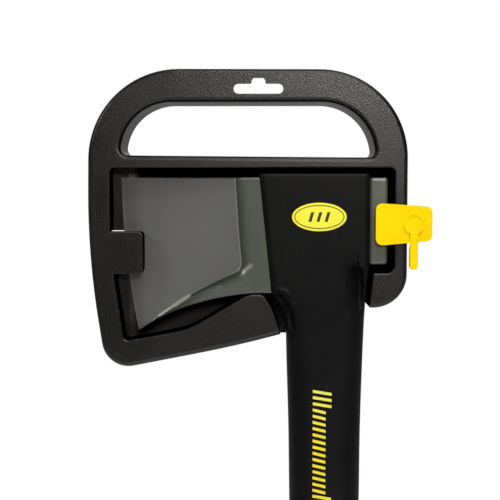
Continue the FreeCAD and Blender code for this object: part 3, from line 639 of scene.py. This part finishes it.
def mark_grinding(mesh):
    """Vertex values for the paint: the ground facet, painted highlights along its edge and in
    streaks, and painted shade in the crease behind it.
    """
    places = np.array([(vert.co.x, vert.co.z) for vert in mesh.vertices]) / MM
    past = -line_distance(places, softened(FACET_LINE, FACET_SOFTNESS))
    on_cheek = places[:, 0] < CHEEK_WIDTH
    upright = smooth_step(places[:, 1], *UPRIGHT)
    # Painted highlights: streaks past the facet's corner and along its lower side, a line along the
    # facet's upright edge and a fainter one along the blade's top.
    painted_glints = [np.exp(-(line_distance(places, np.array(line)) / width) ** 2)
            for line, width in GLINT_STREAKS]
    painted_glints.append(np.exp(-((past + 0.2) / RIM_WIDTH) ** 2) * upright)
    painted_glints.append(0.5 * np.exp(-((BLADE_TOP - places[:, 1]) / RIM_WIDTH) ** 2))
    # The crease value is painted shade beside the facet, weaker beside its upright side and none
    # under the painted highlights.
    shares = {
        "facet": 1.0 - smooth_step(past, -0.4, 0.2),
        "rim": np.maximum.reduce(painted_glints),
        "crease": smooth_step(past, 0.1, 1.0) * (1.0 - smooth_step(past, 0.8, CREASE_WIDTH))
                  * (1.0 - UPRIGHT_FADE * upright) * (1.0 - np.maximum.reduce(painted_glints)),
    }
    for name, values in shares.items():
        mesh.attributes.new(name, "FLOAT", "POINT").data.foreach_set(
            "value", np.where(on_cheek, values, 0.0).astype(np.float32))


def rounded_block(name, low, high, radius, segments):
    """Block between two corners with every edge rounded."""
    bm = bmesh.new()
    bmesh.ops.create_cube(bm, size=1.0)
    low, high = place(*low), place(*high)
    for vert in bm.verts:
        vert.co = Vector(a + (b - a) * (c + 0.5) for a, b, c in zip(low, high, vert.co))
    bmesh.ops.bevel(bm, geom=bm.edges[:], offset=radius * MM, segments=segments, profile=0.5,
                    affect="EDGES")
    return new_object(name, bm, smooth=True)


def make_head(paint):
    """Forged head: blade, neck through the handle and poll, joined into one closed piece."""
    blade = make_blade()
    neck = rounded_block("neck", NECK_LOW, NECK_HIGH, NECK_ROUND, 2)
    poll = rounded_block("poll", POLL_LOW, POLL_HIGH, POLL_ROUND, 6)
    for piece in (neck, poll):
        join = blade.modifiers.new(piece.name, "BOOLEAN")
        join.operation = "UNION"
        join.solver = "EXACT"
        join.object = piece
    applied(blade)
    for piece in (neck, poll):
        bpy.data.objects.remove(piece)
    blade.name = "axe_head_forging"
    sharp = blade.modifiers.new("weighted", "WEIGHTED_NORMAL")
    sharp.keep_sharp = True
    applied(blade)
    mark_grinding(blade.data)
    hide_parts("axe_head")
    return dress(blade, paint)


# ---------------------------------------------------------------------------------------------
# Handle
# ---------------------------------------------------------------------------------------------

# Sections down the handle: height, left, right, half thickness and rounding of the corners.
HANDLE_ROWS = np.array([
    (-61.9, 0.2, 72.2, 18.0, 4.0),
    (-118.0, 6.1, 72.2, 18.0, 4.0),
    (-139.0, 8.3, 70.3, 18.0, 6.5),
    (-148.0, 14.4, 69.9, 17.7, 9.5),
    (-158.0, 18.2, 69.6, 17.4, 12.0),
    (-185.0, 18.7, 68.8, 16.8, 14.0),
    (-230.0, 20.2, 67.6, 16.3, 14.5),
    (-277.0, 20.7, 67.4, 16.0, 14.5),
    (-370.0, 22.4, 65.6, 15.4, 14.0),
    (-450.0, 24.5, 64.0, 15.0, 13.5),
    (-500.0, 26.0, 63.2, 14.8, 13.3),
    (-560.0, 27.4, 62.2, 15.2, 13.8),
    (-630.0, 26.4, 62.8, 15.6, 14.2),
    (-690.0, 21.5, 62.0, 15.8, 14.2),
    (-728.0, 14.0, 60.5, 16.2, 14.4),
])
HANDLE_TOP, HANDLE_BASE = HANDLE_ROWS[0, 0], HANDLE_ROWS[-1, 0]
COLLAR_HALF = HANDLE_ROWS[0, 3]
TOP_ROUND = 1.5
THROAT_TOP, THROAT_BASE = -118.0, -180.0
SLEEVE_TOP = -500.0
CORE_INSET = 2.55               # the core of the grip lies this far inside the sleeve's face
SOFT_LEVELS = (-195.0, -155.0)
SOFT_REACH = (14.0, 1.0)        # how far up and down the rows are averaged at those heights
HOLLOW_TOP = -170.0
HOLLOW_INSET = 6.9
# Hollows in both faces of the throat, and the lip over the left one: line down the face, reach
# to its left and right, steepness, depth, and the heights that they fade between.
HOLLOWS = [
    ([(13.0, -142.4), (15.6, -145.0), (17.8, -148.2), (19.5, -152.2), (20.8, -157.6),
      (21.6, -164.0), (22.0, -172.0)],
     (1.4, 3.4), 1.2, 6.2, (-150.0, -174.0)),
    ([(65.4, -125.0), (66.6, -135.0), (65.8, -152.0)],
     (5.6, 2.0), 1.8, 7.5, (-138.0, -160.0)),
    ([(8.6, -137.6), (12.4, -136.9), (16.0, -137.4), (19.0, -139.3), (21.1, -142.2),
      (22.2, -146.0)],
     (1.4, 1.4), 2.0, -1.3, (-142.0, -149.0)),
]


def handle_section(level):
    """Left, right, half thickness and rounding at a height, softened where rows meet."""
    heights = HANDLE_ROWS[::-1, 0]
    reach = np.interp(level, SOFT_LEVELS, SOFT_REACH)
    offsets = np.linspace(-2.0, 2.0, 9)
    weights = np.exp(-0.5 * offsets ** 2)
    return [np.average(np.interp(level + reach * offsets, heights, HANDLE_ROWS[::-1, column]),
                       weights=weights) for column in range(1, 5)]


def section_ring(level, inset, face=120, side=6, arc=12):
    """Points round the handle's section at a height: x and distance from the mid-plane, in mm."""
    left, right, half, rounding = handle_section(level)
    left, right, half = left + inset, right - inset, half - inset
    radius = max(rounding - inset, 1.0)
    centres = [(right - radius, half - radius), (left + radius, half - radius),
               (left + radius, radius - half), (right - radius, radius - half)]
    ring = []
    for corner, (x, y) in enumerate(centres):
        for angle in np.radians(np.linspace(90.0 * corner, 90.0 * (corner + 1), arc)):
            ring.append((x + radius * math.cos(angle), y + radius * math.sin(angle)))
        turn = math.radians(90.0 * (corner + 1))
        start = ring[-1]
        following = centres[(corner + 1) % 4]
        end = (following[0] + radius * math.cos(turn), following[1] + radius * math.sin(turn))
        count = side if corner % 2 else face
        for share in np.linspace(0.0, 1.0, count + 1, endpoint=False)[1:]:
            ring.append((start[0] + share * (end[0] - start[0]),
                         start[1] + share * (end[1] - start[1])))
    return np.array(ring)


def pressed(ring, level):
    """Ring of the section with the hollows of the throat pressed into both faces."""
    spots = np.column_stack([ring[:, 0], np.full(len(ring), level)])
    depth = np.zeros(len(ring))
    for line, (left, right), power, deepest, (fade_start, fade_end) in HOLLOWS:
        away = line_distance(spots, np.array(line))
        near = np.exp(-np.where(away > 0, away / left, -away / right) ** power)
        depth += deepest * near * (1.0 - smooth_step(-level, -fade_start, -fade_end))
    made = ring.copy()
    made[:, 1] -= np.sign(ring[:, 1]) * depth * smooth_step(np.abs(ring[:, 1]), 3.0, 12.0)
    return made


def handle_rings():
    """Heights and rings from the handle's top over its skin, the grip's core and up the hollow."""
    rings = []
    for angle in np.radians(np.linspace(0.0, 90.0, 6)):
        level = HANDLE_TOP - TOP_ROUND * (1.0 - math.cos(angle))
        rings.append((level, section_ring(level, TOP_ROUND * (1.0 - math.sin(angle)))))
    skin = np.concatenate([np.linspace(HANDLE_TOP - TOP_ROUND, THROAT_TOP, 30)[1:],
                           np.linspace(THROAT_TOP, THROAT_BASE, 96)[1:],
                           np.linspace(THROAT_BASE, SLEEVE_TOP, 110)[1:]])
    rings += [(level, pressed(section_ring(level, 0.0), level)) for level in skin]
    rings += [(level, section_ring(level, CORE_INSET))
              for level in np.linspace(SLEEVE_TOP, HANDLE_BASE, 60)]
    rings += [(level, section_ring(level, HOLLOW_INSET))
              for level in np.linspace(HANDLE_BASE, HOLLOW_TOP, 90)]
    return rings


def make_handle(nylon):
    """Moulded handle: collar with its throat hollows, shaft and the hollow core of the grip."""
    bm = bmesh.new()
    rings = [[bm.verts.new(place(x, AXE_Y + y, level)) for x, y in ring]
             for level, ring in handle_rings()]
    bridged(bm, rings)
    bm.faces.new(rings[0])
    bm.faces.new(reversed(rings[-1]))
    handle = new_object("handle_moulding", bm, smooth=True)
    room = rounded_block("neck_room", NECK_LOW, NECK_HIGH, NECK_ROUND, 2)
    cavity = handle.modifiers.new("cavity", "BOOLEAN")
    cavity.operation = "DIFFERENCE"
    cavity.solver = "EXACT"
    cavity.object = room
    applied(handle)
    bpy.data.objects.remove(room)
    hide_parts("handle_shell")
    return dress(handle, nylon)


# ---------------------------------------------------------------------------------------------
# Badges and print
# ---------------------------------------------------------------------------------------------

PRINT_LEFT = 35.6
PRINT_TOP = -204.5
PRINT_LIFT = 0.06               # how far the ink stands over the handle
PRINT_DEPTH = 0.15              # how far its film reaches into it
PRINT_GRID = (4, 10)
BAR_SLANT = 2.0
BAR_HEIGHT = 1.9
BAR_GAP = 2.2
WIDE_BAR = 12.2
NARROW_BAR = 8.4
OVAL_STEPS = 96
BADGE_SOFT = 0.12               # softening of the badge's outer edge
BADGE_EDGE = 1.5                # from the badge's outline to its ring
BADGE_RING = 0.55               # width of the ring
BADGE_GAP = 0.01                # between its back and the collar
BADGE_RAISE = 0.06              # how far ring and bars stand over the plate
BADGE_SINK = 0.05               # how far they reach into it
BADGE_BAR = (1.0, 3.1, 0.9)     # half width, half height and slant of a bar
BADGE_BAR_STEP = 5.2


def surface_of(mesh):
    """Search tree over the faces of a mesh."""
    return BVHTree.FromPolygons([vert.co for vert in mesh.vertices],
                                [face.vertices for face in mesh.polygons])


def on_side(tree, x, z, side, lift):
    """Point a lift above the handle's front (side -1) or rear (side 1) at a place in mm."""
    outside = place(x, AXE_Y + side * 3 * COLLAR_HALF, z)
    hit = tree.ray_cast(outside, Vector((0, -side, 0)))[0]
    return hit + Vector((0, side * lift * MM, 0))


def print_patch(name, tree, outline, side):
    """Film of ink over the handle inside a four-cornered outline, given in mm."""
    bm = bmesh.new()
    across, along = PRINT_GRID
    sides = []
    for depth in (PRINT_LIFT, -PRINT_DEPTH):
        rows = []
        for u in np.linspace(0.0, 1.0, across + 1):
            row = []
            for v in np.linspace(0.0, 1.0, along + 1):
                weights = ((1 - u) * (1 - v), u * (1 - v), u * v, (1 - u) * v)
                x, z = np.array(weights) @ np.array(outline)
                row.append(bm.verts.new(on_side(tree, x, z, side, depth)))
            rows.append(row)
        sides.append(rows)
    closed_sheet(bm, *sides)
    return new_object(name, bm)


def make_print(handle, ink):
    """Rows of plain slanted bars down both sides of the shaft, in groups that start wide."""
    tree = surface_of(handle.data)
    bars = []
    for narrow in (14, 5):
        bars += [WIDE_BAR] * 3 + [NARROW_BAR] * narrow
    for side, word in ((-1, "front"), (1, "rear")):
        level = PRINT_TOP
        for number, width in enumerate(bars):
            right = PRINT_LEFT + width
            outline = [(PRINT_LEFT, level + BAR_SLANT), (right, level),
                       (right, level - BAR_HEIGHT), (PRINT_LEFT, level - BAR_HEIGHT + BAR_SLANT)]
            film = print_patch("print_%s_%02d" % (word, number), tree, outline, side)
            dress(film, ink)
            level -= BAR_HEIGHT + BAR_GAP


def oval_loop(bm, centre, half_size, inset, depth):
    """Points round an oval, drawn in by an inset, in a plane parallel to the collar's side."""
    angles = [2 * math.pi * k / OVAL_STEPS for k in range(OVAL_STEPS)]
    return [bm.verts.new(place(centre[0] + (half_size[0] - inset) * math.cos(angle), depth,
                               centre[1] + (half_size[1] - inset) * math.sin(angle)))
            for angle in angles]


def oval_plate(name, centre, half_size, face, back):
    """Thin oval plate, the edge of its face softened."""
    bm = bmesh.new()
    shoulder = face - math.copysign(BADGE_SOFT, face - back)
    loops = [oval_loop(bm, centre, half_size, inset, depth)
             for inset, depth in ((0.0, back), (0.0, shoulder), (BADGE_SOFT, face))]
    bridged(bm, loops)
    bm.faces.new(loops[0])
    bm.faces.new(loops[-1])
    return new_object(name, bm)


def oval_ring(name, centre, half_size, face, back):
    """Thin oval ring printed on the badge, a little inside its outline."""
    bm = bmesh.new()
    outer, inner = BADGE_EDGE, BADGE_EDGE + BADGE_RING
    loops = [oval_loop(bm, centre, half_size, inset, depth)
             for inset, depth in ((outer, back), (outer, face), (inner, face), (inner, back))]
    bridged(bm, loops + loops[:1])
    return new_object(name, bm)


def slanted_bar(name, x, z, face, back):
    """Plain slanted bar printed on the badge."""
    bm = bmesh.new()
    half_width, half_height, slant = BADGE_BAR
    corners = [(-half_width - slant, -half_height), (half_width - slant, -half_height),
               (half_width + slant, half_height), (-half_width + slant, half_height)]
    near = [bm.verts.new(place(x + dx, face, z + dz)) for dx, dz in corners]
    far = [bm.verts.new(place(x + dx, back, z + dz)) for dx, dz in corners]
    bm.faces.new(near)
    bm.faces.new(reversed(far))
    bridged(bm, (near, far))
    return new_object(name, bm)


def make_badges(yellow, black):
    """Oval badges: a yellow plate with a black ring and three plain slanted bars."""
    for node, side in (("badge_front", -1), ("badge_rear", 1)):
        low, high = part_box(node)
        centre = ((low.x + high.x) / 2 / MM, (low.z + high.z) / 2 / MM)
        half = ((high.x - low.x) / 2 / MM, (high.z - low.z) / 2 / MM)
        face = (low.y if side < 0 else high.y) / MM
        back = AXE_Y + side * (COLLAR_HALF + BADGE_GAP)
        plate_face = face - side * BADGE_RAISE
        sunk = plate_face - side * BADGE_SINK
        plate = oval_plate(node + "_plate", centre, half, plate_face, back)
        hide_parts(node)
        dress(plate, yellow)
        dress(oval_ring(node + "_ring", centre, half, face, sunk), black)
        for number, offset in enumerate((-BADGE_BAR_STEP, 0.0, BADGE_BAR_STEP)):
            bar = slanted_bar("%s_bar_%d" % (node, number), centre[0] + offset, centre[1],
                              face, sunk)
            dress(bar, black)


# ---------------------------------------------------------------------------------------------
# Grip
# ---------------------------------------------------------------------------------------------

GRIP_X = 43.0                   # the middle of the grip
GRIP_REACH = 60.0               # further out from it than the sleeve's face
SLEEVE_WALL = 2.45
DIMPLE_PITCH = (9.0, 11.0)      # across and down the sleeve
DIMPLE_HALF = (0.40, 0.34)      # half size of a dimple, in pitches
DIMPLE_DEPTH = 0.75
END_RING = (6.0, 1.3, 0.7)      # a ring's distance from the sleeve's end, its width and depth


def make_grip(rubber):
    """Soft sleeve with rows of pressed lens-shaped dimples on its sides and rings at its ends."""
    tree = surface_of(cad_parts["grip_sleeve"].data)
    low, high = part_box("grip_sleeve")
    rows, columns = 420, 200
    inside = 0.05 * MM
    bm = bmesh.new()
    outer, inner = [], []
    for j in range(rows + 1):
        z = low.z + (high.z - low.z) * j / rows
        level = min(max(z, low.z + inside), high.z - inside)
        ring_out, ring_in = [], []
        for k in range(columns):
            angle = 2 * math.pi * k / columns
            ray = Vector((math.cos(angle), math.sin(angle), 0))
            start = Vector((GRIP_X * MM, AXE_Y * MM, level)) + ray * GRIP_REACH * MM
            hit = tree.ray_cast(start, -ray)[0]
            hit.z = z
            ring_out.append(bm.verts.new(hit - ray * MM * grip_dent(hit, z, low.z, high.z)))
            ring_in.append(bm.verts.new(hit - ray * SLEEVE_WALL * MM))
        outer.append(ring_out)
        inner.append(ring_in)
    bridged(bm, outer + inner[::-1] + outer[:1])
    sleeve = new_object("grip_sleeve_moulding", bm, smooth=True)
    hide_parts("grip_sleeve")
    return dress(sleeve, rubber)


def grip_dent(point, z, base, top):
    """Depth in mm that the pattern is pressed into the sleeve at a point."""
    down = (top - z) / MM
    up = (z - base) / MM
    from_end, width, depth = END_RING
    rings = depth * sum(math.exp(-((gap - from_end) / width) ** 2) for gap in (down, up))
    inner = smooth_step(min(down, up), 10.0, 18.0)
    on_face = smooth_step(abs(point.y / MM - AXE_Y), 6.0, 11.0)
    row = down / DIMPLE_PITCH[1]
    stagger = 0.5 * (math.floor(row) % 2)
    u = ((point.x / MM - GRIP_X) / DIMPLE_PITCH[0] + stagger) % 1.0 - 0.5
    v = row % 1.0 - 0.5
    lens = max(0.0, 1.0 - (u / DIMPLE_HALF[0]) ** 2 - (v / DIMPLE_HALF[1]) ** 2)
    return float(rings + DIMPLE_DEPTH * inner * on_face * math.sqrt(lens))


# ---------------------------------------------------------------------------------------------
# Assembly
# ---------------------------------------------------------------------------------------------

def paint_node(node, made):
    """Give a carried-over CAD node its finished material."""
    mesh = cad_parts[node].data
    mesh.materials.clear()
    mesh.materials.append(made)


make_camera()
make_lights()
make_world()
make_floor()

cover_black = moulded_plastic("cover_plastic", (0.0043, 0.0040, 0.0038), (0.0074, 0.0068, 0.0064),
                              0.31, 0.46, 1500.0, 0.00014, shaded=True)
handle_black = moulded_plastic("handle_nylon", (0.0022, 0.0022, 0.0023), (0.0054, 0.0054, 0.0054),
                               0.42, 0.11, 1300.0, 0.00018)
yellow = latch_plastic()
badge_print = printed_ink("badge_yellow", (0.86, 0.80, 0.03), (0.84, 0.77, 0.025), -0.06, -0.12)
strip_print = printed_ink("strip_yellow", (0.80, 0.76, 0.10), (0.86, 0.70, 0.004), -0.200, -0.232)
black_print = printed_ink("badge_black", (0.012, 0.012, 0.012), (0.016, 0.015, 0.014), 0.0, -0.2)

paint_node("cover_frame", cover_black)
paint_node("end_knob", handle_black)
for node in ("latch_plate", "latch_pin"):
    paint_node(node, yellow)
paint_node("latch_retainer", zinc_plate())

make_head(forged_paint())
make_badges(badge_print, black_print)
make_print(make_handle(handle_black), strip_print)
make_grip(soft_rubber())

bpy.context.scene.view_settings.view_transform = "Standard"
